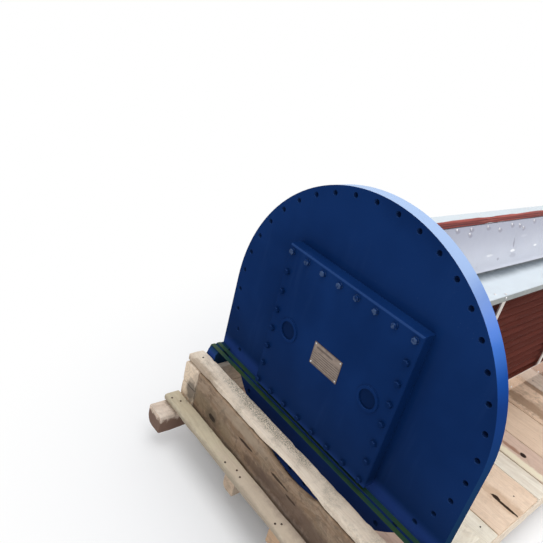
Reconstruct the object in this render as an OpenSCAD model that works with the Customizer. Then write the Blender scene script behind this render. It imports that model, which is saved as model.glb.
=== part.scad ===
// Air to water cooler: a finned tube bundle behind a round end plate, on its timber transport skid.
// Millimetres. X runs across the front, Y from the front to the back and Z upwards.

/* [End plate] */
// Height of the plate's centre above the floor
centre_h = 680; // [665:1:900]
// Radius of the round plate
plate_r = 530; // [515:1:560]
// Thickness of the plate
plate_t = 55; // [30:1:80]
// Depth of the square lower corners under the centre
corner_drop = 355; // [320:1:380]
// Distance of the circle of rim holes from the plate's edge
rim_edge = 23; // [16:1:30]
// Number of rim holes
rim_holes = 40; // [24:4:48]
// Diameter of a rim hole
rim_hole_d = 18; // [10:1:24]
// Width of a foot at a lower corner
foot_w = 48; // [30:1:70]
// Reach of a foot in front of the plate
foot_reach = 66; // [40:1:69]
// Clearance from a foot's top up to the water box
foot_clear = 24; // [12:1:40]
// Bevel along a foot's upper front edge
foot_bevel = 15; // [4:1:20]

/* [Water box] */
// Side of the square cover
box_w = 542; // [530:1:560]
// Depth of the cover in front of the plate
box_d = 48; // [40:1:70]
// Wall of the cover round its chamber
box_wall = 40; // [36:1:50]
// Thickness of the cover's front
box_front_t = 14; // [10:1:20]
// Bevel round the cover's front
box_bevel = 5; // [1:1:8]
// Distance of a port from the middle
port_x = 179; // [120:1:190]
// Outer radius of a port ring
port_r = 40; // [32:1:48]
// Width of a port ring
port_rim = 10; // [6:1:14]
// Height of a port ring over the cover
port_h = 5; // [3:1:8]
// Nameplate width
name_w = 120; // [80:1:140]
// Nameplate height
name_h = 79; // [50:1:90]
// Nameplate thickness
name_t = 1.5; // [1:0.5:3]

/* [Tube bundle] */
// Half of the bundle's width, at the side rails
bundle_half = 258; // [255:1:300]
// Height of the rail's lower edge over the centre
rail_z = 292; // [270:1:300]
// Height of the bottom rail's upper edge under the centre
sill_z = 132; // [120:1:160]
// Rows of tubes
tube_rows = 13; // [11:1:15]
// Set back of the tubes behind the rails
tube_inset = 8; // [4:1:16]
// Length of the finned tubes
tube_len = 2008; // [1980:1:2400]
// Thickness of the sheet at each end of the tubes
sheet_t = 20; // [14:1:30]
// Depth of the flange behind the far sheet
flange_t = 34; // [24:1:44]
// Depth of the return cover at the far end
return_d = 72; // [50:1:100]
// Reach of the flange beyond the bundle's sides
flange_lip = 40; // [24:1:60]
// Rise of the flange over the side rails
flange_rise = 24; // [16:1:32]
// Width of a side strap
strap_w = 22; // [16:1:30]
// Thickness of a side strap
strap_t = 5; // [3:1:7]
// Distance of the first strap behind the end plate
strap_offset = 314; // [200:1:400]
// Distance from strap to strap
strap_pitch = 639; // [500:1:680]
// Straps on a side
strap_n = 3; // [2:1:3]

/* [Casing] */
// Height of the rail along the top cover
rail_h = 23; // [16:1:30]
// Reach of the rail's upper leg under the cover
rail_leg = 30; // [16:1:50]
// Rise of the top cover at its middle
cover_rise = 9; // [2:1:14]
// Thickness of casing sheet
casing_t = 3; // [2:0.5:5]
// Height of the bottom rail
sill_h = 76; // [60:1:90]
// Depth of the bottom rail's flanges
sill_flange = 40; // [25:1:60]

/* [Air baffle] */
// Distance of the baffle's lower edge from the middle
baffle_x = 142; // [120:1:160]
// Lean of the baffle towards the middle, at its top
baffle_lean = 42; // [0:1:60]
// Height of the baffle over its mounting flange
baffle_h = 148; // [100:1:160]
// Gap under the baffle's lower lip
baffle_gap = 12; // [8:1:20]
// Reach of the baffle's end behind the return cover
baffle_reach = 250; // [150:1:300]
// Depth of the skirt under the bundle
skirt_h = 24; // [16:1:40]
// Height of a rubber seal
seal_h = 22; // [12:1:30]
// Thickness of a rubber seal
seal_t = 14; // [10:1:20]

/* [Skid] */
// Reach of the skid beyond the end plate at each side
skid_over = 20; // [10:1:60]
// Width of a side beam
beam_w = 88; // [80:1:110]
// Height of a side beam
beam_h = 80; // [70:1:100]
// Reach of the side beams in front of the water box
beam_lead = 222; // [180:1:260]
// Reach of the side beams behind the bundle
beam_back = 110; // [60:1:300]
// Height of a cross bearer
bearer_h = 75; // [60:1:90]
// Width of a cross bearer
bearer_w = 78; // [60:1:100]
// Reach of the front bearer beyond the side beams
bearer_reach = 75; // [0:1:120]
// Width of a middle runner
runner_w = 60; // [40:1:80]
// Distance of a middle runner's inner side from the middle
runner_x = 95; // [80:1:200]
// Reach of the runners in front of the water box
runner_front = 142; // [100:1:150]
// Height of the upper side block
block_h = 90; // [80:1:100]
// Reach of the side blocks behind the water box's front
block_back = 285; // [200:1:400]
// Reach of the side blocks in front of the water box
block_front = 95; // [80:1:110]
// Thickness of the boards across the front
board_t = 28; // [20:1:34]
// Width of the upper front board
upper_board_w = 68; // [50:1:75]
// Gap between the upper front board and the feet
upper_board_gap = 2; // [1:1:6]
// Width of the lower front board
lower_board_w = 53; // [40:1:60]
// Gap between the lower front board and the side blocks
lower_board_gap = 17; // [12:1:20]
// Thickness of the upright board
fascia_t = 20; // [14:1:24]
// Dip of the upright board's waney edge
wane_dip = 26; // [10:1:40]
// Radius of the waney edge's curve
wane_r = 360; // [260:10:900]
// Distance of the waney edge's middle from the skid's middle
wane_x = 70; // [0:5:140]
// Thickness of the deck
deck_t = 20; // [16:1:30]
// Gap between the deck and the end plate
deck_gap = 6; // [4:1:20]
// Width of the timbers that carry the far end
rear_w = 90; // [60:1:110]
// Height of the cross timber at the far end
rear_h = 90; // [70:1:110]
// Reach of the far cross timber beyond the bundle
rear_reach = 157; // [80:1:200]

/* [Lashing] */
// Width of a lashing band
band_w = 16; // [10:1:20]
// Thickness of a lashing band
band_t = 1.5; // [1:0.5:3]
// Gap beside each lashing band
band_gap = 10; // [4:1:16]

/* [Hidden] */
eps = 0.01;
cut = 1;

blue = [0.09, 0.2, 0.45];
silver = [0.78, 0.78, 0.82];
tube_red = [0.32, 0.14, 0.12];
rubber_red = [0.6, 0.2, 0.2];
timber = [0.86, 0.76, 0.62];
band_green = [0.2, 0.42, 0.22];

// Places along Y, from the front of the water box
plate_y = box_d;
plate_back = plate_y + plate_t;
sheet_y = plate_back;
tube_y = sheet_y + sheet_t;
far_sheet_y = tube_y + tube_len;
flange_y = far_sheet_y + sheet_t;
return_y = flange_y + flange_t;
return_back = return_y + return_d;
baffle_end_y = return_back + baffle_reach;
skid_back = baffle_end_y + seal_h + beam_back;
skid_mid_y = (skid_back - beam_lead) / 2;
rear_y = flange_y - rear_w;

skid_half = plate_r + skid_over;

// Heights, from the floor
beam_z = bearer_h;
deck_z = beam_z + beam_h;
corner_z = centre_h - corner_drop;
upper_block_z = corner_z - block_h;
rail_top = centre_h + rail_z + rail_h;
sill_top = centre_h - sill_z;
sill_bottom = sill_top - sill_h;
foot_top = centre_h - box_w / 2 - foot_clear;
foot_y = plate_y - foot_reach;
front_band_y = foot_y + band_gap;
back_band_y = front_band_y + band_w + band_gap;

// Tube rows between the rails
row_pitch = (rail_z + sill_z) / tube_rows;
fin_r = row_pitch / 2;
tube_half = bundle_half - tube_inset - strap_t;
function row_z(i) = sill_top + row_pitch * (i + 0.5);

// Baffle's line from its lower lip up to the seal
lip_z = rail_top + baffle_gap;
baffle_top_x = baffle_x - baffle_lean;
baffle_top_z = lip_z + baffle_h;
function baffle_at(z) = baffle_x - baffle_lean * (z - lip_z) / baffle_h;

module shifted() { translate([0, -skid_mid_y, 0]) children(); }

// A box from its low corner to its high corner
module block(low, high) {
    translate(low) cube([high[0] - low[0], high[1] - low[1], high[2] - low[2]]);
}

// A flat shape drawn in X and Z, pushed back along Y
module pushed(y, depth) {
    translate([0, y + depth, 0]) rotate([90, 0, 0]) linear_extrude(depth) children();
}

// A round bar or bore along Y
module along_y(r, y, depth) {
    translate([0, y + depth, 0]) rotate([90, 0, 0]) cylinder(r = r, h = depth, $fn = 96);
}

module mirrored(side) { mirror([side < 0 ? 1 : 0, 0, 0]) children(); }

// Round plate with square lower corners, rim holes and feet
module plate_outline() {
    circle(r = plate_r, $fn = 180);
    translate([-plate_r, -corner_drop]) square([2 * plate_r, corner_drop]);
}

module foot(side) {
    mirrored(side)
        translate([plate_r - foot_w, 0, 0])
            rotate([90, 0, 90])
                linear_extrude(foot_w)
                    polygon([[foot_y, corner_z], [plate_y + eps, corner_z], [plate_y + eps, foot_top],
                        [foot_y + foot_bevel, foot_top], [foot_y, foot_top - foot_bevel]]);
}

module end_plate() {
    color(blue) shifted() difference() {
        union() {
            translate([0, 0, centre_h]) pushed(plate_y, plate_t) plate_outline();
            for (side = [-1, 1]) foot(side);
        }
        for (i = [0 : rim_holes - 1])
            translate([0, 0, centre_h])
                rotate([0, 360 / rim_holes * (i + 0.5), 0])
                    translate([plate_r - rim_edge, 0, 0])
                        along_y(rim_hole_d / 2, plate_y - cut, plate_t + 2 * cut);
    }
}

// Square cover with a bevelled front, a chamber behind and two port recesses
module cover_solid() {
    half = box_w / 2;
    intersection() {
        block([-half, 0, centre_h - half], [half, box_d, centre_h + half]);
        translate([0, 0, centre_h]) rotate([90, 0, 90]) translate([0, 0, -half]) linear_extrude(box_w)
            polygon([[0, box_bevel - half], [box_bevel, -half], [box_d, -half], [box_d, half],
                [box_bevel, half], [0, half - box_bevel]]);
        translate([0, 0, centre_h - half]) linear_extrude(box_w)
            polygon([[box_bevel - half, 0], [half - box_bevel, 0], [half, box_bevel], [half, box_d],
                [-half, box_d], [-half, box_bevel]]);
    }
}

module water_box() {
    inner = box_w / 2 - box_wall;
    color(blue) shifted() difference() {
        union() {
            cover_solid();
            for (side = [-1, 1])
                translate([side * port_x, 0, centre_h]) along_y(port_r, -port_h, port_h + eps);
        }
        block([-inner, box_front_t, centre_h - inner], [inner, box_d + cut, centre_h + inner]);
        for (side = [-1, 1])
            translate([side * port_x, 0, centre_h])
                along_y(port_r - port_rim, -port_h - cut, port_h + box_front_t + 2 * cut);
    }
}

module port_blanks() {
    color(blue) shifted()
        for (side = [-1, 1])
            translate([side * port_x, 0, centre_h])
                along_y(port_r - port_rim, 0, box_front_t);
}

module nameplate() {
    color("tan") shifted()
        block([-name_w / 2, -name_t, centre_h - name_h / 2], [name_w / 2, 0, centre_h + name_h / 2]);
}

// Sheets at the ends of the tubes
module front_tube_sheet() {
    color("dimgray") shifted()
        block([-tube_half, sheet_y, sill_top], [tube_half, tube_y, rail_top - rail_h]);
}

// Rows of fins whose edges meet, as one body with scalloped sides
module tube_field() {
    translate([-(tube_half - fin_r), sill_top]) square([2 * (tube_half - fin_r), tube_rows * row_pitch]);
    for (i = [0 : tube_rows - 1])
        for (side = [-1, 1])
            translate([side * (tube_half - fin_r), row_z(i)]) circle(r = fin_r - eps, $fn = 48);
}

module finned_tubes() {
    color(tube_red) shifted() pushed(tube_y, tube_len) tube_field();
}

module far_tube_sheet() {
    color(silver) shifted()
        block([-tube_half, far_sheet_y, sill_top], [tube_half, flange_y, rail_top - rail_h]);
}

module far_flange() {
    color(silver) shifted()
        block([-bundle_half - flange_lip, flange_y, sill_bottom],
            [bundle_half + flange_lip, return_y, rail_top + flange_rise]);
}

module return_cover() {
    color(silver) shifted()
        block([-bundle_half, return_y, sill_bottom], [bundle_half, return_back, rail_top]);
}

// Sheet over the bundle, raised a little along its middle
module top_cover() {
    low = rail_top - casing_t;
    color(silver) shifted() pushed(sheet_y, flange_y - sheet_y)
        polygon([[-bundle_half, rail_top], [0, rail_top + cover_rise], [bundle_half, rail_top],
            [bundle_half, low], [0, low + cover_rise], [-bundle_half, low]]);
}

// Angle under each edge of the cover
module side_rail(side) {
    color(silver) shifted() mirrored(side) pushed(sheet_y, flange_y - sheet_y)
        polygon([[bundle_half, rail_top - rail_h], [bundle_half, rail_top - casing_t],
            [bundle_half - rail_leg, rail_top - casing_t], [bundle_half - rail_leg, rail_top - 2 * casing_t],
            [bundle_half - strap_t, rail_top - 2 * casing_t], [bundle_half - strap_t, rail_top - rail_h]]);
}

module left_rail() { side_rail(-1); }
module right_rail() { side_rail(1); }

// Channels along the bundle's lower edges, and the sheet between them
module side_sill(side) {
    inner = bundle_half - sill_flange;
    color(silver) shifted() mirrored(side) pushed(sheet_y, flange_y - sheet_y)
        polygon([[bundle_half, sill_bottom], [bundle_half, sill_top], [inner, sill_top],
            [inner, sill_top - casing_t], [bundle_half - casing_t, sill_top - casing_t],
            [bundle_half - casing_t, sill_bottom + casing_t], [inner, sill_bottom + casing_t],
            [inner, sill_bottom]]);
}

module left_sill() { side_sill(-1); }
module right_sill() { side_sill(1); }

module bottom_sheet() {
    color(silver) shifted()
        block([sill_flange - bundle_half, sheet_y, sill_bottom],
            [bundle_half - sill_flange, flange_y, sill_bottom + casing_t]);
}

module side_straps(side) {
    strap_y = plate_back + strap_offset - strap_w / 2;
    color(silver) shifted() mirrored(side)
        for (i = [0 : strap_n - 1])
            translate([0, strap_y + i * strap_pitch, 0])
                block([bundle_half - strap_t, 0, sill_top], [bundle_half, strap_w, rail_top - rail_h]);
}

module left_straps() { side_straps(-1); }
module right_straps() { side_straps(1); }

// Leaning baffle along the top of the bundle
module lean_strip(x_off, z0, z1, t) {
    polygon([[baffle_at(z0) + x_off, z0], [baffle_at(z1) + x_off, z1],
        [baffle_at(z1) + x_off - t, z1], [baffle_at(z0) + x_off - t, z0]]);
}

module baffle_panel() {
    color(silver) shifted() pushed(plate_back, flange_y - plate_back)
        lean_strip(0, lip_z, baffle_top_z, casing_t);
}

module baffle_bracket() {
    color(silver) shifted() pushed(sheet_y, flange_y - sheet_y)
        lean_strip(-casing_t, rail_top + cover_rise, baffle_top_z, casing_t);
}

// Upright sheet behind the leaning panel, over the return cover and down past the bundle's end
module baffle_end() {
    outer = baffle_top_x + casing_t;
    over_z = rail_top + flange_rise;
    color(silver) shifted() {
        block([baffle_top_x, return_y, over_z], [outer, return_back, baffle_top_z]);
        block([baffle_top_x, return_back, sill_bottom], [outer, baffle_end_y, baffle_top_z]);
    }
}

module baffle_skirt() {
    color(silver) shifted()
        block([baffle_top_x, sheet_y, sill_bottom - skirt_h],
            [baffle_top_x + casing_t, rear_y, sill_bottom]);
}

module top_seal() {
    color(rubber_red) shifted()
        block([baffle_top_x - seal_t, plate_back, baffle_top_z],
            [baffle_top_x, baffle_end_y + seal_h, baffle_top_z + seal_h]);
}

module end_seal() {
    color(rubber_red) shifted()
        block([baffle_top_x - seal_t, baffle_end_y, sill_top],
            [baffle_top_x, baffle_end_y + seal_h, baffle_top_z]);
}

module bottom_seal() {
    color(rubber_red) shifted()
        block([baffle_top_x - seal_t, sheet_y, sill_bottom - skirt_h - seal_h / 2],
            [baffle_top_x, rear_y, sill_bottom - skirt_h]);
}

// Timber skid
module side_beam(side) {
    color(timber) shifted() mirrored(side)
        block([skid_half - beam_w, -beam_lead, beam_z], [skid_half, skid_back, deck_z]);
}

module left_beam() { side_beam(-1); }
module right_beam() { side_beam(1); }

module runner(side) {
    color(timber) shifted() mirrored(side)
        block([runner_x, -runner_front, beam_z], [runner_x + runner_w, skid_back, deck_z]);
}

module left_runner() { runner(-1); }
module right_runner() { runner(1); }

module bearer(y, half) {
    color(timber) shifted() block([-half, y, 0], [half, y + bearer_w, bearer_h]);
}

module front_bearer() { bearer(back_band_y + band_w + band_gap, skid_half + bearer_reach); }
module middle_bearer() { bearer(skid_back / 2, skid_half); }
module far_bearer() { bearer(skid_back - 2 * bearer_w, skid_half); }

module side_block(side, z0, z1) {
    color(timber) shifted() mirrored(side)
        block([skid_half - beam_w, -block_front, z0], [skid_half, block_back, z1]);
}

module left_lower_block() { side_block(-1, deck_z, upper_block_z); }
module right_lower_block() { side_block(1, deck_z, upper_block_z); }
module left_upper_block() { side_block(-1, upper_block_z, corner_z); }
module right_upper_block() { side_block(1, upper_block_z, corner_z); }

module front_board(y, z, width) {
    color(timber) shifted() block([-skid_half, y - width, z], [skid_half, y, z + board_t]);
}

module upper_front_board() { front_board(foot_y - upper_board_gap, corner_z, upper_board_w); }
module lower_front_board() { front_board(-block_front - lower_board_gap, deck_z, lower_board_w); }

// Upright board between the side blocks, with a waney upper edge
module fascia_board() {
    half = skid_half - beam_w;
    top = corner_z - deck_z;
    color(timber) shifted() translate([0, 0, deck_z]) pushed(-block_front, fascia_t) difference() {
        translate([-half, 0]) square([2 * half, top]);
        translate([wane_x, top + wane_r - wane_dip]) circle(r = wane_r, $fn = 180);
    }
}

// Deck behind the end plate, cut round the side blocks
module deck() {
    inner = skid_half - beam_w;
    color(timber) shifted() translate([0, 0, deck_z]) linear_extrude(deck_t) {
        translate([-skid_half, block_back]) square([2 * skid_half, skid_back - block_back]);
        translate([-inner, plate_back + deck_gap]) square([2 * inner, skid_back - plate_back - deck_gap]);
    }
}

module far_cross_timber() {
    half = bundle_half + rear_reach;
    color(timber) shifted() block([-half, rear_y, sill_bottom - rear_h], [half, flange_y, sill_bottom]);
}

module far_post(side) {
    x = bundle_half + rear_reach;
    color(timber) shifted() mirrored(side)
        block([x - rear_w, rear_y, deck_z + deck_t], [x, flange_y, sill_bottom - rear_h]);
}

module left_far_post() { far_post(-1); }
module right_far_post() { far_post(1); }

// Lashing band over the feet and round the skid's beams
module band_loop(t) {
    polygon([[-skid_half - t, beam_z - t], [-skid_half - t, corner_z], [-plate_r - t, foot_top + t],
        [plate_r + t, foot_top + t], [skid_half + t, corner_z], [skid_half + t, beam_z - t]]);
}

module band(y) {
    color(band_green) shifted() pushed(y, band_w) difference() {
        band_loop(band_t);
        band_loop(0);
    }
}

module front_band() { band(front_band_y); }
module back_band() { band(back_band_y); }

end_plate();
water_box();
port_blanks();
nameplate();
front_tube_sheet();
finned_tubes();
far_tube_sheet();
far_flange();
return_cover();
top_cover();
left_rail();
right_rail();
bottom_sheet();
left_sill();
right_sill();
left_straps();
right_straps();
baffle_panel();
baffle_bracket();
baffle_end();
baffle_skirt();
top_seal();
end_seal();
bottom_seal();
left_beam();
right_beam();
left_runner();
right_runner();
front_bearer();
middle_bearer();
far_bearer();
left_lower_block();
right_lower_block();
left_upper_block();
right_upper_block();
upper_front_board();
lower_front_board();
fascia_board();
deck();
far_cross_timber();
left_far_post();
right_far_post();
front_band();
back_band();
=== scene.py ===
import math
import random

import bmesh
import bpy
from mathutils import Matrix, Vector, noise


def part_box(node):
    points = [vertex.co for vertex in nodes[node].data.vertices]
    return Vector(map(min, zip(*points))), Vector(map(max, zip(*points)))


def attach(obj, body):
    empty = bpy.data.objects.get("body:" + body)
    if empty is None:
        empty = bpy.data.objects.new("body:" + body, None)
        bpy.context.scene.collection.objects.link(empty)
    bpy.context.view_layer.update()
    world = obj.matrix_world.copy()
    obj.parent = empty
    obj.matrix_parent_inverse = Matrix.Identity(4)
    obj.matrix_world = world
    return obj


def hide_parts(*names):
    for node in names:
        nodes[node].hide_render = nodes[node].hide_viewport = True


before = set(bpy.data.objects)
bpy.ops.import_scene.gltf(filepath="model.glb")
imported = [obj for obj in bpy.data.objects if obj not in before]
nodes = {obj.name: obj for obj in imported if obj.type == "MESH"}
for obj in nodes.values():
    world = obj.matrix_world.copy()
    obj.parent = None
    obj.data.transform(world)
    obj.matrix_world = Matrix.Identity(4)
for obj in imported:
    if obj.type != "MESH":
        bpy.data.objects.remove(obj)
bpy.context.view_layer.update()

scene = bpy.context.scene
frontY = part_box("nameplate")[1][1]  # the water box's front
centreMm = 680  # the end plate's centre above the floor
centreHeight = centreMm / 1000
fullTurn = 2 * math.pi
forward, upward, rightward = Vector((0, -1, 0)), Vector((0, 0, 1)), Vector((1, 0, 0))
print("frame loaded:", len(nodes), "nodes")


def placeAt(x, y, z):  # millimetres, y from the water box's front, to a place in the frame
    return Vector((x / 1000, frontY + y / 1000, z / 1000))


class Value:  # a shader value, written as plain maths
    def __init__(self, finish, socket):
        self.finish, self.socket = finish, socket

    def maths(self, operation, other=None, swapped=False):
        if other is None:
            return self.finish.node("Math", {"operation": operation}, {0: self})
        first, second = (other, self) if swapped else (self, other)
        return self.finish.node("Math", {"operation": operation}, {0: first, 1: second})

    def __add__(self, other):
        return self.maths("ADD", other)

    def __radd__(self, other):
        return self.maths("ADD", other, True)

    def __sub__(self, other):
        return self.maths("SUBTRACT", other)

    def __rsub__(self, other):
        return self.maths("SUBTRACT", other, True)

    def __mul__(self, other):
        return self.maths("MULTIPLY", other)

    def __lt__(self, other):
        return self.maths("LESS_THAN", other)

    def __abs__(self):
        return self.maths("ABSOLUTE")


class Finish:  # one material, built up node by node
    def __init__(self, name, **fixed):
        self.material = bpy.data.materials.new(name)
        self.material.use_nodes = True
        self.tree = self.material.node_tree
        self.tree.nodes.clear()
        self.shader = self.tree.nodes.new("ShaderNodeBsdfPrincipled")
        self.end = self.tree.nodes.new("ShaderNodeOutputMaterial")
        self.tree.links.new(self.shader.outputs[0], self.end.inputs[0])
        for socket, value in fixed.items():
            self.shader.inputs[socket.replace("_", " ")].default_value = value
        self.place = self.node("TexCoord", output=3)
        self.normal = self.node("NewGeometry", output=1)

    def node(self, kind, settings=None, inputs=None, output=0):
        made = self.tree.nodes.new("ShaderNode" + kind)
        for key, value in (settings or {}).items():
            if key == "stops":
                ramp = made.color_ramp
                while len(ramp.elements) < len(value):
                    ramp.elements.new(0.5)
                for element, (at, colour) in zip(ramp.elements, value):
                    element.position, element.color = at, (*colour, 1)
            else:
                setattr(made, key, value)
        for key, value in (inputs or {}).items():
            socket = made.inputs[key]
            if isinstance(value, Value):
                self.tree.links.new(value.socket, socket)
            elif isinstance(value, tuple):
                socket.default_value = (*value, 1)[:len(socket.default_value)]
            else:
                socket.default_value = value
        return Value(self, made.outputs[output])

    def stretch(self, vector, amounts):
        return self.node("VectorMath", {"operation": "MULTIPLY"}, {0: vector, 1: amounts})

    def shift(self, vector, offset):
        return self.node("VectorMath", {"operation": "ADD"}, {0: vector, 1: offset})

    def span(self, vector):
        return self.node("VectorMath", {"operation": "LENGTH"}, {0: vector}, 1)

    def grain(self, vector, scale, detail=4, roughness=0.55, distortion=0.0):
        return self.node("TexNoise", {}, {"Vector": vector, "Scale": scale, "Detail": detail,
                                          "Roughness": roughness, "Distortion": distortion})

    def part(self, vector, index):
        return self.node("SeparateXYZ", {}, {0: vector}, index)

    def wave(self, value):
        return value.maths("SINE")

    def band(self, value, low, high, start=0.0, end=1.0):
        return self.node("MapRange", {"interpolation_type": "SMOOTHSTEP"},
                         {0: value, 1: low, 2: high, 3: start, 4: end})

    def tint(self, factor, first, second):
        return self.node("Mix", {"data_type": "RGBA"}, {0: factor, 6: first, 7: second}, 2)

    def ramp(self, value, *stops):
        return self.node("ValToRGB", {"stops": stops}, {0: value})

    def near(self, spot, reach, ragged, firm=0.45):  # 1 at a place, fading out over its reach
        offset = self.shift(self.place, tuple(-c for c in spot))
        away = self.span(self.stretch(offset, tuple(1 / r for r in reach)))
        return 1 - self.band(away + ragged, firm, 1.0)

    def wire(self, socket, value):
        self.tree.links.new(value.socket, self.shader.inputs[socket])

    def relief(self, height, strength, distance):
        settings = {"Strength": strength, "Distance": distance, "Height": height}
        self.wire("Normal", self.node("Bump", {}, settings))


paint = {
    "deep": (0.0065, 0.032, 0.135), "night": (0.0045, 0.024, 0.105), "low": (0.006, 0.019, 0.07),
    "foot": (0.022, 0.058, 0.24), "hole": (0.02, 0.06, 0.2),
    "wearAndHighlight": (0.03, 0.075, 0.22), "speckAndHighlight": (0.22, 0.32, 0.5),
    "rimEdge": (0.522, 0.526), "holesFrom": (0.49, 0.495), "holesTo": (0.518, 0.521),  # radii in metres
    "rimFoot": 0.30, "rimRise": 0.91,  # heights in metres over which the rim's painted light runs, dark at its foot and light at its top
    "rim": ((0.10, (0.010, 0.035, 0.08)), (0.40, (0.012, 0.045, 0.13)), (0.62, (0.010, 0.045, 0.21)),
            (0.70, (0.012, 0.07, 0.32)), (0.76, (0.036, 0.135, 0.48)), (0.82, (0.05, 0.175, 0.60)),
            (0.875, (0.14, 0.25, 0.56)), (0.92, (0.30, 0.42, 0.67)), (0.99, (0.34, 0.46, 0.68))),
}


# the first option paints a highlight on the top row of bolt heads; the second darkens the whole paint, as
# painted shade for shaded copies
def bluePaint(name, topBoltHighlight=0.0, depth=1.0):
    f = Finish(name, Specular_IOR_Level=0.0, Coat_Roughness=0.15)
    height, outward = f.part(f.place, 2), f.part(f.normal, 1)
    broad = f.grain(f.place, 3.2, 3)
    fine = f.grain(f.place, 60, 4)
    streak = f.grain(f.stretch(f.place, (22, 22, 2.2)), 1, 4)
    colour = f.tint(f.band(broad, 0.35, 0.65), paint["night"], paint["deep"])
    colour = f.tint(f.band(height, 0.75, 0.3) * 0.8, colour, paint["low"])
    # painted light low on the plate, where it lies in shade behind the boards
    colour = f.tint(f.band(height, 0.44, 0.39), colour, paint["foot"])
    colour = f.tint(f.band(streak, 0.55, 0.75) * 0.12, colour, paint["wearAndHighlight"])
    bevelHighlight = f.band(f.part(f.normal, 2) * outward * -1, 0.25, 0.42)  # painted highlight where an edge turns upwards
    colour = f.tint(bevelHighlight * 0.55, colour, paint["wearAndHighlight"])
    fromMiddle = f.span(f.stretch(f.shift(f.place, (0, 0, -centreHeight)), (1, 0, 1)))
    edgeOn = 1 - f.band(abs(outward), 0.6, 0.9)
    rim = f.band(fromMiddle, *paint["rimEdge"]) * edgeOn
    beforeHoles, pastHoles = f.band(fromMiddle, *paint["holesFrom"]), f.band(fromMiddle, *paint["holesTo"])
    # painted light: the rim's edge lightens upwards as though lit from above
    rimLightHeight = (height - paint["rimFoot"] + (broad - 0.5) * 0.08) * (1 / paint["rimRise"])
    colour = f.tint(rim, colour, f.ramp(rimLightHeight, *paint["rim"]))
    # painted light on the walls of the bolt holes, lifting their shade
    colour = f.tint(beforeHoles * (1 - pastHoles) * edgeOn, colour, paint["hole"])
    # painted highlight on the front faces of the top row of bolt heads
    if topBoltHighlight:
        wearAndHighlight = f.band(f.grain(f.place, 90, 3), 0.42, 0.6) * f.band(height, 0.86, 0.92)
        colour = f.tint(wearAndHighlight * f.band(outward, -0.2, -0.7) * topBoltHighlight, colour, paint["speckAndHighlight"])
    speck = f.band(f.grain(f.place, 210, 2), 0.7, 0.78) * f.band(broad, 0.45, 0.65)
    f.wire("Base Color", f.stretch(f.tint(speck * 0.12, colour, paint["speckAndHighlight"]), (depth,) * 3))
    f.wire("Roughness", f.band(fine, 0.3, 0.7, 0.3, 0.45))
    f.wire("Coat Weight", rim * f.band(height, 0.92, 1.08) * 0.3 + (1 - rim) * 0.03)
    f.relief(fine * 0.25 + f.grain(f.place, 420, 2) * 0.15 + broad * 0.6, 0.3, 0.002)
    return f.material


def sheetMetal(name, base, stain, shine, spangle=55, grime=0.4, gloss=(0.34, 0.55), dents=0.3,
               shadeRamp=None, marks=()):
    f = Finish(name, Metallic=shine)
    cell = f.node("TexVoronoi", {}, {"Vector": f.place, "Scale": spangle, "Randomness": 1.0}, 1)
    flake = f.part(cell, 0)
    smear = f.grain(f.stretch(f.place, (9, 3, 9)), 1, 5, 0.6)
    dirt = f.grain(f.place, 7, 6, 0.62)
    colour = f.tint(flake * 0.25, base, tuple(min(1.0, c * 1.14) for c in base))
    colour = f.tint(f.band(smear, 0.45, 0.75) * 0.3, colour, tuple(c * 0.78 for c in base))
    colour = f.tint(f.band(dirt, 0.56, 0.72) * grime, colour, stain)
    if shadeRamp:  # painted shade, darker towards one side
        reach = f.part(f.place, shadeRamp["axis"]) + (dirt - 0.5) * 0.02
        rampedShade = f.band(reach, shadeRamp["shadeStarts"], shadeRamp["shadeFull"])
        rampedShade = rampedShade * f.band(reach, shadeRamp["stop"] - 0.02, shadeRamp["stop"])
        colour = f.tint(rampedShade * shadeRamp["strength"], colour, shadeRamp["shade"])
    ragged = (f.grain(f.place, 120, 3) - 0.5) * 0.8
    for at, reach, shade, strength in marks:
        colour = f.tint(f.near(placeAt(*at), reach, ragged) * strength, colour, shade)
    f.wire("Base Color", colour)
    f.wire("Roughness", f.band(flake * 0.5 + smear * 0.5, 0.2, 0.8, *gloss))
    f.relief(smear * 0.6 + flake * 0.1, dents, 0.003)
    return f.material


fins = {  # pitches and heights in metres
    "pitch": 0.003, "rowPitch": 0.032615, "lowestRow": 0.548,
    "behindRim": (0.46, 0.40), "underRail": (0.93, 0.972),  # where the painted shade behind the end plate and under the rail starts and ends
    "copper": (0.098, 0.023, 0.016), "redder": (0.135, 0.032, 0.022), "edge": (0.17, 0.048, 0.032),
    "dull": (0.088, 0.022, 0.017), "between": (0.26, 0.075, 0.055), "shade": (0.04, 0.013, 0.012),
}


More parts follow.
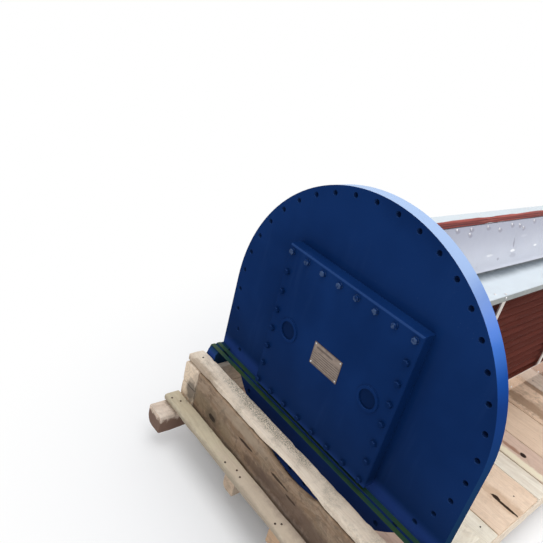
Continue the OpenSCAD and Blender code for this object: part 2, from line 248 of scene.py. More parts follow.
def tubeFins():
    f = Finish("tubeFins", Specular_IOR_Level=0.05)
    along, height = f.part(f.place, 1), f.part(f.place, 2)
    edges = f.wave(along * (fullTurn / fins["pitch"]))
    loops = f.grain(f.stretch(f.place, (150, 330, 150)), 1, 2)
    streak = f.grain(f.stretch(f.place, (40, 2.5, 40)), 1, 5, 0.6)
    patch = f.grain(f.place, 2.6, 3)
    colour = f.tint(f.band(streak, 0.35, 0.7), fins["copper"], fins["redder"])
    colour = f.tint(f.band(loops, 0.5, 0.72) * 0.35, colour, fins["edge"])
    colour = f.tint(f.band(patch, 0.4, 0.65) * 0.3, colour, fins["dull"])
    # painted light: a lighter band along each row of tubes, evening out the shade between rows
    rows = f.wave((height - fins["lowestRow"]) * (fullTurn / fins["rowPitch"]) + math.pi / 2)
    colour = f.tint(f.band(rows, 0.2, 1.0) * 0.3, colour, fins["between"])
    # painted shade on the tubes next to the end plate and under the rail
    shade = f.band(along, *(frontY + y for y in fins["behindRim"])) + f.band(height, *fins["underRail"])
    f.wire("Base Color", f.tint(f.band(shade, 0, 1) * 0.5, colour, fins["shade"]))
    f.wire("Roughness", f.band(loops, 0.3, 0.7, 0.65, 0.85))
    f.relief(edges * 0.4 + loops * 0.8, 0.6, 0.003)
    return f.material


sealRubber = {
    "streaks": ((0.3, (0.12, 0.013, 0.012)), (0.5, (0.26, 0.042, 0.032)), (0.7, (0.45, 0.13, 0.10))),
    "patch": (0.19, 0.035, 0.03), "groove": (0.075, 0.012, 0.014), "stripPitch": 0.0074,
}


def rubber():
    f = Finish("rubberSeal", Specular_IOR_Level=0.3)
    streak = f.grain(f.stretch(f.place, (90, 4, 150)), 1, 5, 0.65)
    patch = f.grain(f.place, 9, 4)
    colour = f.ramp(streak, *sealRubber["streaks"])
    colour = f.tint(f.band(patch, 0.55, 0.75) * 0.4, colour, sealRubber["patch"])
    strips = f.wave((f.part(f.place, 2) + (streak - 0.5) * 0.006) * (fullTurn / sealRubber["stripPitch"]))
    colour = f.tint(f.band(strips, 0.35, 0.9) * 0.8, colour, sealRubber["groove"])
    f.wire("Base Color", colour)
    f.wire("Roughness", f.band(streak, 0.3, 0.7, 0.5, 0.78))
    f.relief(streak, 0.5, 0.003)
    return f.material


lashing = {"blueGreen": (0.010, 0.05, 0.048), "olive": (0.024, 0.06, 0.016), "ribs": (0.05, 0.10, 0.045)}


def bandPlastic():
    f = Finish("bandPlastic", Specular_IOR_Level=0.25)
    ribs = f.grain(f.place, 420, 1)
    patch = f.grain(f.place, 10, 3)
    colour = f.tint(f.band(patch, 0.35, 0.65), lashing["blueGreen"], lashing["olive"])
    f.wire("Base Color", f.tint(ribs * 0.25, colour, lashing["ribs"]))
    f.wire("Roughness", f.band(patch, 0.3, 0.7, 0.4, 0.55))
    f.relief(ribs, 0.4, 0.001)
    return f.material


woodMarks = {  # place in millimetres, reach in metres, colour, strength, how firm the edge is
    "deckKnotGrain": ((337, 1003, 175), (0.075, 0.015, 0.03), (0.30, 0.14, 0.085), 0.75),
    "deckSapwood": ((400, 958, 175), (0.34, 0.03, 0.03), (0.90, 0.82, 0.62), 0.9),
    "deckKnot": ((387, 1010, 175), (0.016, 0.015, 0.03), (0.02, 0.008, 0.005), 1.0, 0.8),
    "deckSplitGrain": ((470, 684, 175), (0.16, 0.04, 0.03), (0.52, 0.33, 0.2), 0.5),
    "deckSplit": ((492, 671, 175), (0.066, 0.0075, 0.03), (0.035, 0.018, 0.009), 1.0, 0.8),
    "deckSplitHead": ((450, 675, 175), (0.018, 0.012, 0.03), (0.03, 0.015, 0.008), 1.0, 0.8),
    "deckBrownFar": ((170, 1560, 175), (0.36, 0.026, 0.03), (0.25, 0.145, 0.085), 0.75),
    "deckBrownNear": ((230, 1385, 175), (0.30, 0.055, 0.03), (0.29, 0.175, 0.105), 0.75),
    "deckBrownIsland": ((262, 1440, 175), (0.06, 0.022, 0.03), (0.5, 0.36, 0.26), 0.6),
    "fasciaStain": ((-410, -95, 232), (0.12, 0.05, 0.045), (0.2, 0.15, 0.09), 0.55),
    "fasciaSwirl": ((-252, -95, 222), (0.05, 0.05, 0.04), (0.26, 0.19, 0.12), 0.6),
    "fasciaDarkLeft": ((-60, -95, 215), (0.10, 0.05, 0.03), (0.13, 0.085, 0.06), 0.55),
    "fasciaDarkRight": ((150, -95, 212), (0.32, 0.05, 0.06), (0.12, 0.08, 0.064), 0.65),
    "fasciaPale": ((-180, -95, 300), (0.16, 0.05, 0.03), (0.42, 0.33, 0.24), 0.6),
    "fasciaKnotRing": ((-337, -95, 214), (0.062, 0.05, 0.04), (0.13, 0.095, 0.065), 0.75),
    "fasciaKnot": ((-337, -95, 212), (0.026, 0.05, 0.014), (0.03, 0.02, 0.015), 0.95, 0.7),
    "fasciaSplitLeft": ((-140, -95, 258), (0.045, 0.05, 0.006), (0.035, 0.02, 0.014), 0.95, 0.75),
    "fasciaSplitMiddle": ((40, -95, 262), (0.05, 0.05, 0.006), (0.04, 0.024, 0.016), 0.95, 0.75),
    "fasciaSplitRight": ((105, -95, 244), (0.03, 0.05, 0.005), (0.05, 0.03, 0.02), 0.9, 0.75),
    "blockKnot": ((-486, -95, 226), (0.04, 0.03, 0.062), (0.18, 0.145, 0.115), 0.9),
    "beamEnd": ((-505, -190, 90), (0.12, 0.15, 0.06), (0.19, 0.115, 0.085), 1.0, 0.7),
    "lowBoardPink": ((60, -135, 182), (0.36, 0.06, 0.03), (0.62, 0.49, 0.40), 0.5),
    # painted shade along the lower board's rounded front edge
    "lowBoardFrontShade": ((-100, -166, 166), (0.6, 0.016, 0.03), (0.30, 0.24, 0.18), 0.6),
    "boardFront": ((-450, -84, 338), (0.16, 0.02, 0.03), (0.34, 0.24, 0.16), 0.6),
    "boardSpeckle": ((-150, -34, 353), (0.32, 0.038, 0.03), (0.13, 0.125, 0.085), 0.9),
}
endMarks = ("blockKnot", "beamEnd")  # these show on the sawn ends too
grainScales = {  # across the grain, then along it
    "fibre": (240.0, 8.0), "rings": (1.0, 0.09), "knots": (8.0, 2.6), "flow": (34.0, 10.0), "ends": (1.0, 0.0),
}
woodTones = {
    "darker": (0.62, 0.53, 0.46), "paler": (1.12, 1.14, 1.18), "sawnEnd": (1.0, 0.94, 0.88),  # times the shade
    "blotch": (0.13, 0.09, 0.066), "knot": (0.09, 0.045, 0.025), "crack": (0.10, 0.06, 0.04),
    "mould": (0.30, 0.25, 0.18), "speckle": (0.14, 0.14, 0.10),
    "growth": (0.27, 0.19, 0.13), "endBlotch": (0.24, 0.18, 0.14),
}
timberFactors = ("seed", "mould", "knots")


def timberWood(name, axis):  # shade, seed, mould and knots come from each timber's faces
    f = Finish(name, Specular_IOR_Level=0.2)
    fibreScale, ringScale, knotScale, flowScale, endScale = (
        tuple(along if i == axis else across for i in range(3)) for across, along in grainScales.values())
    shade = f.node("Attribute", {"attribute_name": "shade"})
    seed, mould, knotty = (f.node("Attribute", {"attribute_name": n}, {}, 2) for n in timberFactors)
    darker, paler = f.stretch(shade, woodTones["darker"]), f.stretch(shade, woodTones["paler"])
    spot = f.shift(f.place, f.node("CombineXYZ", {}, {0: seed * 9.3, 1: seed * 23.7, 2: seed * 15.1}))
    bend = f.node("TexNoise", {}, {"Vector": spot, "Scale": 5.0}, 1)
    waved = f.shift(spot, f.stretch(bend, (0.03, 0.03, 0.03)))
    cells = f.node("TexVoronoi", {}, {"Vector": f.stretch(waved, knotScale), "Scale": 1.0})
    knot = (1 - f.band(cells, 0.03, 0.12)) * knotty
    swirl = (1 - f.band(cells, 0.05, 0.45)) * knotty
    rings = f.grain(f.stretch(waved, ringScale), 15, 3, 0.5, 0.5) + swirl * 0.2
    lines = f.wave(rings * 75)
    fibre = f.grain(f.stretch(spot, fibreScale), 1, 5, 0.6)
    cloud = f.grain(f.stretch(waved, tuple(a * 7 for a in ringScale)), 1, 4, 0.6)
    colour = f.tint(f.band(cloud, 0.48, 0.72) * 0.75, shade, paler)
    colour = f.tint(f.band(cloud, 0.5, 0.28) * 0.55, colour, darker)
    colour = f.tint(f.band(lines, -0.2, 1.0) * (0.16 + swirl * 0.5), colour, darker)
    colour = f.tint(f.band(fibre, 0.52, 0.75) * 0.25, colour, darker)
    flow = f.grain(f.stretch(waved, flowScale), 1, 6, 0.62, 1.4)
    colour = f.tint(f.band(flow, 0.46, 0.62) * knotty * 0.75, colour, darker)
    colour = f.tint(f.band(flow, 0.42, 0.3) * knotty * 0.5, colour, paler)
    blotch = f.grain(spot, 30, 6, 0.68, 0.8)
    colour = f.tint(f.band(blotch, 0.5, 0.6) * knotty * 0.5, colour, woodTones["blotch"])
    colour = f.tint(knot * 0.9, colour, woodTones["knot"])
    crack = f.band(f.grain(f.stretch(waved, tuple(a * 0.45 for a in fibreScale)), 1, 3, 0.5), 0.70, 0.735)
    crackPatch = f.band(f.grain(spot, 6, 2), 0.5, 0.6)
    colour = f.tint(crack * crackPatch * 0.8, colour, woodTones["crack"])
    stain = f.band(f.grain(spot, 9, 5, 0.7), 0.46, 0.66) * mould
    speckle = f.band(f.grain(spot, 260, 3, 0.75), 0.45, 0.6)
    colour = f.tint(stain * 0.3, colour, woodTones["mould"])
    colour = f.tint(stain * speckle * 0.5, colour, woodTones["speckle"])
    growth = f.wave(f.grain(f.stretch(spot, endScale), 7, 2) * 190)
    endColour = f.stretch(shade, woodTones["sawnEnd"])
    endColour = f.tint(f.band(growth, -0.4, 0.8) * 0.18, endColour, woodTones["growth"])
    endColour = f.tint(f.band(f.grain(spot, 26, 4), 0.5, 0.66) * 0.3, endColour, woodTones["endBlotch"])
    ragged = (f.grain(f.place, 45, 4, 0.6) - 0.5) * 0.9
    for key, (at, reach, markColour, strength, *firm) in woodMarks.items():
        mark = f.near(placeAt(*at), reach, ragged, *firm)
        if key == "boardSpeckle":
            mark = mark * speckle
        colour = f.tint(mark * strength, colour, markColour)
        if key in endMarks:
            endColour = f.tint(mark * strength, endColour, markColour)
    endOn = f.band(abs(f.part(f.normal, axis)), 0.8, 0.95)
    f.wire("Base Color", f.tint(endOn, colour, endColour))
    f.wire("Roughness", f.band(fibre, 0.3, 0.7, 0.66, 0.85))
    f.relief(fibre * 0.6 + lines * 0.1 + knot * -0.4 + crack * -0.6 + f.grain(spot, 40, 3) * 0.5, 0.5, 0.003)
    return f.material


def bareSteel(name, first, second, shine, rough, scale):
    f = Finish(name, Metallic=shine)
    patch = f.grain(f.place, scale, 3)
    f.wire("Base Color", f.tint(f.band(patch, 0.38, 0.65), first, second))
    f.wire("Roughness", f.band(patch, 0.3, 0.7, *rough))
    f.relief(patch, 0.3, 0.001)
    return f.material


nameplate = {  # metres, from the plate's middle
    "halfSize": (0.060, 0.0395), "edge": 0.0035, "edgeFade": 0.001, "lineGap": 0.0075, "linesBelow": 0.016,
    "headAt": (-0.012, 0.025), "headHalf": (0.036, 0.004), "headFade": (0.002, 0.001),
    "brass": (0.30, 0.23, 0.185), "tarnish": (0.23, 0.17, 0.135),
    "line": (0.05, 0.038, 0.032), "head": (0.07, 0.05, 0.042), "frame": (0.12, 0.085, 0.07),
    "rivetsAt": (54, 33.5), "proud": 1.5,  # millimetres; the plate stands that far out of the box
    "rivet": {"radius": 0.0028, "rise": 0.0016},
}


def plateMetal():  # ruled lines only, no lettering
    f = Finish("plateMetal", Metallic=0.2)
    x, z = f.part(f.place, 0), f.part(f.place, 2) - centreHeight
    inside = [half - nameplate["edge"] for half in nameplate["halfSize"]]
    sides = [f.band(abs(v), at, at + nameplate["edgeFade"]) for v, at in zip((x, z), inside)]
    edge = sides[0].maths("MAXIMUM", sides[1])
    lines = f.band(f.wave(z * (fullTurn / nameplate["lineGap"])), 0.1, 0.55)
    broken = f.band(f.grain(f.stretch(f.place, (55, 1, 400)), 1, 2), 0.36, 0.44)
    field = (z < nameplate["linesBelow"]) * (1 - edge) * broken
    headAcross, headUp = (
        f.band(abs(v - at), half, half - fade) for v, at, half, fade in
        zip((x, z), nameplate["headAt"], nameplate["headHalf"], nameplate["headFade"]))
    dirt = f.grain(f.place, 70, 4)
    colour = f.tint(f.band(dirt, 0.4, 0.7), nameplate["brass"], nameplate["tarnish"])
    colour = f.tint(lines * field * 0.8, colour, nameplate["line"])
    colour = f.tint(headUp * headAcross * 0.7, colour, nameplate["head"])
    colour = f.tint(edge * 0.7, colour, nameplate["frame"])
    f.wire("Base Color", colour)
    f.wire("Roughness", f.band(dirt, 0.3, 0.7, 0.45, 0.6))
    f.relief(lines * field * -1 + edge * 0.5, 0.5, 0.0006)
    return f.material


# painted highlights and painted shade that give the panel's dents and screws their light
paintedHighlight, paintedShade = (0.98, 0.98, 1.0), (0.30, 0.29, 0.36)
screwPlaces = [  # along and up, in millimetres, as they show beside the end plate
    (266, 1149), (345, 1147), (340, 1132), (443, 1146), (520, 1134),
    (600, 1144), (684, 1128), (655, 1139), (760, 1146), (850, 1141),
]
panelMarks = [  # place in millimetres, reach in metres, colour, strength
    ((121, 638, 1082), (0.02, 0.006, 0.024), paintedShade, 0.8),
    ((128, 633, 1056), (0.02, 0.022, 0.006), paintedHighlight, 0.9),
    ((127, 800, 1060), (0.02, 0.016, 0.005), paintedHighlight, 0.8),
    ((128, 482, 1054), (0.02, 0.024, 0.005), paintedHighlight, 0.45),
    ((130, 540, 1038), (0.02, 0.01, 0.006), paintedShade, 0.6),
    ((118, 700, 1100), (0.02, 0.03, 0.006), paintedHighlight, 0.12),
    ((129, 640, 1040), (0.02, 0.03, 0.01), paintedShade, 0.3),
    *(((103, y + 8, z - 5), (0.02, 0.016, 0.009), paintedShade, 0.8) for y, z in screwPlaces),  # painted shadow under each screw
]
# painted shade: the panel darkens towards its top
panelTopShade = {"axis": 2, "shadeStarts": 1.03, "shadeFull": 1.15, "stop": 1.0,  # places in metres along the axis
             "strength": 0.75, "shade": (0.35, 0.36, 0.44)}
# painted shadow on the cover beside the foot of the baffle panel
coverLipShadow = {"axis": 0, "shadeStarts": 0.192, "shadeFull": 0.15, "stop": 0.1,
             "strength": 0.93, "shade": (0.07, 0.092, 0.112)}

finishes = {
    "blue": bluePaint("bluePaint"),
    # bolt heads: a darker copy of the blue paint as painted shade, with a painted highlight on the top row
    "boltBlueShadedLit": bluePaint("boltPaintShadedLit", topBoltHighlight=0.3, depth=0.8),
    # port blanks: a darker copy of the blue paint as painted shade in their recess
    "portBlueShaded": bluePaint("portPaintShaded", depth=0.6),
    "plate": plateMetal(),
    "panel": sheetMetal("panelSheet", (0.60, 0.62, 0.70), (0.40, 0.39, 0.44), shine=0.2, shadeRamp=panelTopShade,
                        marks=panelMarks),
    "cover": sheetMetal("coverSheet", (0.60, 0.66, 0.70), (0.46, 0.49, 0.51), shine=0.15, spangle=45,
                        grime=0.3, shadeRamp=coverLipShadow),
    "rail": sheetMetal("railSteel", (0.28, 0.30, 0.29), (0.18, 0.17, 0.165), shine=0.3),
    "sill": sheetMetal("sillSteel", (0.74, 0.66, 0.61), (0.6, 0.48, 0.42), shine=1.0, spangle=30, grime=0.25,
                       gloss=(0.06, 0.14), dents=0.05),
    "strap": sheetMetal("strapSteel", (0.66, 0.60, 0.55), (0.45, 0.38, 0.33), shine=0.2),
    "flange": sheetMetal("flangeSteel", (0.26, 0.16, 0.155), (0.15, 0.085, 0.08), shine=0.2),
    "fins": tubeFins(),
    "rubber": rubber(),
    "band": bandPlastic(),
    "woodX": timberWood("timberAcross", 0),
    "woodY": timberWood("timberAlong", 1),
    "woodZ": timberWood("timberUpright", 2),
    "nail": bareSteel("nailSteel", (0.04, 0.03, 0.028), (0.11, 0.06, 0.04), 0.5, (0.5, 0.8), 160),
    "screw": bareSteel("screwSteel", (0.50, 0.49, 0.51), (0.76, 0.75, 0.77), 0.5, (0.4, 0.6), 160),
    "bright": bareSteel("brightSteel", (0.62, 0.60, 0.6), (0.84, 0.83, 0.84), 0.7, (0.3, 0.5), 120),
}
print("finishes made:", len(finishes))


def dress(finish, *names):
    for name in names:
        slots = nodes[name].data.materials
        if not slots:
            slots.append(finishes[finish])
        for i in range(len(slots)):
            slots[i] = finishes[finish]


dress("portBlueShaded", "port_blanks")
dress("plate", "nameplate")
dress("fins", "finned_tubes")
dress("cover", "top_cover", "baffle_bracket")
dress("rail", "front_tube_sheet")
dress("sill", "bottom_sheet")
dress("flange", "far_tube_sheet")
dress("band", "front_band", "back_band")


def piece(name, mesh, finish, replaced=()):
    made = bpy.data.objects.new(name, mesh)
    scene.collection.objects.link(made)
    mesh.materials.append(finishes[finish])
    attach(made, "root")
    if replaced:
        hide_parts(*replaced)


smoothing = {  # shading runs on smoothly up to these angles, in degrees
    "steel": 18, "timber": 40, "sheet": 35, "rubber": 50, "bolts": 25, "heads": 30, "floor": 0,
}


def fromBmesh(name, bm, smooth):
    mesh = bpy.data.meshes.new(name)
    bmesh.ops.recalc_face_normals(bm, faces=bm.faces)
    bm.to_mesh(mesh)
    bm.free()
    for face in mesh.polygons:
        face.use_smooth = smooth > 0
    if smooth:
        mesh.set_sharp_from_angle(angle=math.radians(smooth))
    return mesh


softening = {"weld": 0.00001, "flat": 1, "sharp": 30}  # metres, then degrees
steelwork = {  # piece: node, finish, slot, width of the broken edge
    "endPlateSteel": ("end_plate", "blue", "blue_paint", 0.002),
    "waterBoxSteel": ("water_box", "blue", "blue_paint", 0.0012),
    "farFlangeSteel": ("far_flange", "flange", "casing_metal", 0.002),
    "returnCoverSteel": ("return_cover", "panel", "casing_metal", 0.004),
    "leftRailSteel": ("left_rail", "rail", "casing_metal", 0.0008),
    "rightRailSteel": ("right_rail", "rail", "casing_metal", 0.0008),
    "leftSillSteel": ("left_sill", "sill", "casing_metal", 0.001),
    "rightSillSteel": ("right_sill", "sill", "casing_metal", 0.001),
    "leftStrapSteel": ("left_straps", "strap", "casing_metal", 0.001),
    "rightStrapSteel": ("right_straps", "strap", "casing_metal", 0.001),
    "baffleEndSteel": ("baffle_end", "panel", "casing_metal", 0.0007),
    "baffleSkirtSteel": ("baffle_skirt", "panel", "casing_metal", 0.0007),
}


def softenEdges(name, node, finish, width):  # the node's own shape with its sharp edges broken
    bm = bmesh.new()
    bm.from_mesh(nodes[node].data)
    bmesh.ops.remove_doubles(bm, verts=bm.verts, dist=softening["weld"])
    bmesh.ops.dissolve_limit(bm, angle_limit=math.radians(softening["flat"]), verts=bm.verts, edges=bm.edges)
    sharp = math.radians(softening["sharp"])
    edges = [e for e in bm.edges if len(e.link_faces) == 2 and e.calc_face_angle(0) > sharp]
    bmesh.ops.bevel(bm, geom=edges, offset=width, segments=2, profile=0.5, affect="EDGES", clamp_overlap=True)
    piece(name, fromBmesh(name, bm, smoothing["steel"]), finish, [node])


for name, (node, finish, slot, width) in steelwork.items():
    softenEdges(name, node, finish, width)
print("steelwork made:", len(steelwork))


def sectionPoints(width, height, radii):  # a rounded section from corner 0,0; the last value marks corners
    points = []
    corners = ((width, 0, -90), (width, height, 0), (0, height, 90), (0, 0, 180))
    middles = ((width, height / 2), (width / 2, height), (0, height / 2), (width / 2, 0))
    for (cx, cy, start), middle, radius in zip(corners, middles, radii):
        mx, my = (cx - radius if cx else radius), (cy - radius if cy else radius)
        for turn in (0, 30, 60, 90):
            a = math.radians(start + turn)
            points.append((mx + radius * math.cos(a), my + radius * math.sin(a), 1))
        points.append((*middle, 0))
    return points


def timberLayers(bm):  # where each face keeps its timber's shade, seed, mould and knots
    layers = bm.faces.layers
    for kind, names in ((layers.float_vector, ("shade",)), (layers.float, timberFactors)):
        for n in names:
            if n not in kind.keys():
                kind.new(n)
    return {"shade": layers.float_vector["shade"], **{n: layers.float[n] for n in timberFactors}}


sawn = {"chamfer": 0.003, "pinch": 0.9, "nick": 1.6, "waney": 0.008, "wander": 0.35}  # larger radii wander


def addBar(bm, low, high, axis, look, radii, rough, step, carve=None):  # roughness only takes wood away
    layers = timberLayers(bm)
    u, v = [i for i in (0, 1, 2) if i != axis]
    size = [high[i] - low[i] for i in range(3)]
    count = max(2, int(size[axis] / step))
    chamfer = min(sawn["chamfer"], size[axis] / 4)
    between = (size[axis] * i / count for i in range(1, count))
    stations = [0, chamfer, *between, size[axis] - chamfer, size[axis]]
    shift = Vector((31, 17, 7)) * look["seed"]
    rings = []
    for s, at in enumerate(stations):
        ring, slack = [], []
        for i, radius in enumerate(radii):
            drift = sawn["wander"] * noise.noise(Vector((at * 5, i * 3.1, look["seed"] * 40)))
            slack.append(radius * (1 + drift) if radius > sawn["waney"] else radius)
        for pu, pv, corner in sectionPoints(size[u], size[v], slack):
            if s in (0, len(stations) - 1):
                pu += (size[u] / 2 - pu) * min(sawn["pinch"], chamfer / size[u])
                pv += (size[v] / 2 - pv) * min(sawn["pinch"], chamfer / size[v])
            spot = Vector((0, 0, 0))
            spot[axis], spot[u], spot[v] = low[axis] + at, low[u] + pu, low[v] + pv
            bite = rough * (0.5 + 0.5 * noise.noise(spot * 9 + shift))
            if corner:
                bite += rough * sawn["nick"] * max(0, noise.noise(spot * 38 + shift))
            spot[u] += bite * (1 if pu < size[u] / 2 else -1 if pu > size[u] / 2 else 0)
            spot[v] += bite * (1 if pv < size[v] / 2 else -1 if pv > size[v] / 2 else 0)
            if carve:
                carve(spot, pu / size[u], pv / size[v])
            ring.append(bm.verts.new(spot))
        rings.append(ring)
    faces = [bm.faces.new(rings[0]), bm.faces.new(list(reversed(rings[-1])))]
    for a, b in zip(rings, rings[1:]):
        for i in range(len(a)):
            j = (i + 1) % len(a)
            faces.append(bm.faces.new((a[i], a[j], b[j], b[i])))
    for face in faces:
        for n, layer in layers.items():
            face[layer] = look.get(n, 0.0)


woods = {  # sawn wood as it looks in even light
    "cream": (0.88, 0.81, 0.67), "light": (0.90, 0.70, 0.53), "bleached": (0.97, 0.92, 0.80),
    "honey": (0.84, 0.64, 0.48), "board": (0.90, 0.77, 0.62), "peach": (0.72, 0.53, 0.38),
    "pink": (0.68, 0.50, 0.40), "brown": (0.50, 0.35, 0.25), "tan": (0.62, 0.44, 0.30),
    "green": (0.62, 0.545, 0.40), "grey": (0.60, 0.48, 0.37), "pale": (0.80, 0.67, 0.56),
    "mossy": (0.36, 0.26, 0.18),
}


def woodLook(shade, seed, mould=0.2, knots=0.3):
    return {"shade": woods[shade], "seed": seed, "mould": mould, "knots": knots}


timbers = {  # piece: node, grain axis, look, radii of its four long edges
    "leftBeamTimber": ("left_beam", 1, woodLook("pale", 0.11, 0.3), (0.005, 0.004, 0.004, 0.03)),
    "rightBeamTimber": ("right_beam", 1, woodLook("board", 0.43, 0.1), (0.012, 0.004, 0.004, 0.004)),
    "leftRunnerTimber": ("left_runner", 1, woodLook("grey", 0.77, 0.4), (0.004, 0.004, 0.004, 0.02)),
    "rightRunnerTimber": ("right_runner", 1, woodLook("tan", 0.29, 0.3), (0.004,) * 4),
    "frontBearerTimber": ("front_bearer", 0, woodLook("grey", 0.61, 0.4), (0.006,) * 4),
    "middleBearerTimber": ("middle_bearer", 0, woodLook("tan", 0.37), (0.006,) * 4),
    "farBearerTimber": ("far_bearer", 0, woodLook("peach", 0.83), (0.006,) * 4),
    "leftLowerBlock": ("left_lower_block", 1, woodLook("board", 0.19, 0.2), (0.005,) * 4),
    "rightLowerBlock": ("right_lower_block", 1, woodLook("peach", 0.53), (0.005,) * 4),
    "leftUpperBlock": ("left_upper_block", 1, woodLook("board", 0.71, 0.2), (0.005, 0.005, 0.012, 0.005)),
    "rightUpperBlock": ("right_upper_block", 1, woodLook("cream", 0.97, 0.1), (0.005,) * 4),
    "lowerBoard": ("lower_front_board", 0, woodLook("green", 0.59, 0.25, 0.1), (0.003, 0.005, 0.008, 0.012)),
    "farCrossTimber": ("far_cross_timber", 0, woodLook("tan", 0.07, 0.3), (0.005,) * 4),
    "leftFarPost": ("left_far_post", 2, woodLook("peach", 0.47), (0.005,) * 4),
    "rightFarPost": ("right_far_post", 2, woodLook("tan", 0.67), (0.005,) * 4),
}
jointReach = {"lowerBoard": 0.011}  # how far a board reaches back into its joint, in metres
sawing = {"plain": (0.0018, 0.045), "carved": (0.002, 0.018)}  # roughness and step along the bar, in metres


def timberPiece(name, node, axis, look, radii, carve=None):
    low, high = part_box(node)
    high = (high[0], high[1] + jointReach.get(name, 0), high[2])
    rough, step = sawing["carved" if carve else "plain"]
    bm = bmesh.new()
    addBar(bm, low, high, axis, look, radii, rough, step, carve)
    piece(name, fromBmesh(name, bm, smoothing["timber"]), "wood" + "XYZ"[axis], [node])


for name, (node, axis, look, radii) in timbers.items():
    timberPiece(name, node, axis, look, radii)

wane = {  # metres, and shares of a board's width and height
    "dip": 0.026, "radius": 0.36, "centre": 0.07, "boardBite": 0.017, "boardReach": 0.17,
    "skin": 0.002, "front": 0.35, "under": (0.7, 0.3), "underBite": 0.15,
}
boardBottom, boardTop = (corner[2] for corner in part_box("upper_front_board"))


def carveFascia(spot, across, up):  # the bark edge that dips under the upper board
    if up > 0.5:
        side = max(0.0, wane["radius"] ** 2 - (spot.x - wane["centre"]) ** 2)
        spot.z = min(spot.z, boardBottom - wane["dip"] + wane["radius"] - math.sqrt(side))


def carveBoard(spot, across, up):  # the upper board's lower front edge, bitten by bark over the same stretch
    away = abs(spot.x - wane["centre"]) / wane["boardReach"]
    bite = wane["boardBite"] * max(0.0, 1 - away ** 2)
    if across < wane["front"]:
        spot.z = max(spot.z, min(boardTop - wane["skin"], boardBottom + bite))
    elif across < wane["under"][0] and up < wane["under"][1]:
        spot.z = max(spot.z, boardBottom + bite * wane["underBite"])


timberPiece("fasciaBoard", "fascia_board", 0, woodLook("mossy", 0.91, 0.6, 0.9), (0.003,) * 4, carveFascia)
timberPiece("upperBoard", "upper_front_board", 0, woodLook("board", 0.33, 0.75, 0.15), (0.004,) * 4, carveBoard)
print("timbers made:", len(timbers) + 2)

deck = {  # seams along the deck in millimetres, and the wood and knots of the boards that start there
    "seams": [109, 205, 285, 400, 528, 837, 936, 1087, 1307, 1580, 1735, 1895, 2040, 2200, 2365, 2500, 2639],
    "woods": {400: "cream", 528: "light", 837: "bleached", 936: "pink", 1087: "honey", 1307: "honey",
              1580: "pale", 1735: "pink"},
    "otherWoods": ("cream", "peach", "pink", "tan", "brown", "grey"),
    "knots": {528: 0.15, 837: 0.1, 936: 0.1, 1087: 0.1, 1307: 0.5, 1580: 0.3},
    "blocksEnd": 285, "betweenBlocks": 462, "half": 550,
    "endPlay": (1, 5), "seamGap": (1.0, 2.4), "topPlay": 0.003, "tones": (0.92, 1.06),
    "edge": 0.002, "rough": 0.0014, "step": 0.07,
}
random.seed(7)
deckLow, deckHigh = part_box("deck")
bm = bmesh.new()
for start, end in zip(deck["seams"], deck["seams"][1:]):
    half = deck["betweenBlocks"] if end <= deck["blocksEnd"] else deck["half"]
    shade = deck["woods"].get(start) or random.choice(deck["otherWoods"])
    seed, mould, knots = random.random(), random.uniform(0.0, 0.3), random.uniform(0, 0.6)
    look = woodLook(shade, seed, mould, deck["knots"].get(start, knots))
    tone = random.uniform(*deck["tones"])
    look["shade"] = tuple(c * tone for c in look["shade"])
    low = placeAt(-half + random.uniform(*deck["endPlay"]), start + random.uniform(*deck["seamGap"]), 0)
    high = placeAt(half - random.uniform(*deck["endPlay"]), end - random.uniform(*deck["seamGap"]), 0)
    low.z, high.z = deckLow[2], deckHigh[2] - random.uniform(0, deck["topPlay"])
    addBar(bm, low, high, 0, look, (deck["edge"],) * 4, deck["rough"], deck["step"])
piece("deckBoards", fromBmesh("deckBoards", bm, smoothing["timber"]), "woodX", ["deck"])
print("deck boards made:", len(deck["seams"]) - 1)

baffle = {  # millimetres
    "foot": 142, "lean": 42, "rise": 148, "lip": 1007, "thick": 3, "start": 103, "end": 2151,
    "hem": 1.6, "play": 0.2, "rows": 22, "columns": 170,
}
dents = [  # y, z, reach along and up, depth, all in millimetres
    (638, 1080, 9, 26, 2.0), (630, 1056, 22, 9, -1.0), (800, 1060, 20, 8, -0.9), (480, 1056, 30, 9, 1.2),
    (450, 1090, 60, 30, 0.8), (980, 1070, 40, 30, 1.4), (1300, 1050, 25, 30, 1.5), (1650, 1085, 70, 25, 1.3),
    (1900, 1050, 30, 18, 1.4),
]


def baffleAt(z):
    return baffle["foot"] - baffle["lean"] * (z - baffle["lip"]) / baffle["rise"]


sag = {"depth": 0.5, "along": 170, "up": 60, "layer": 2.5, "deepest": 2.4, "proudest": 0.8}  # millimetres


def dentAt(y, z):
    depth = sag["depth"] + sag["depth"] * noise.noise(Vector((y / sag["along"], z / sag["up"], sag["layer"])))
    for dy, dz, along, up, deep in dents:
        depth += deep * math.exp(-((y - dy) / along) ** 2 - ((z - dz) / up) ** 2)
    return min(sag["deepest"], max(-sag["proudest"], depth))


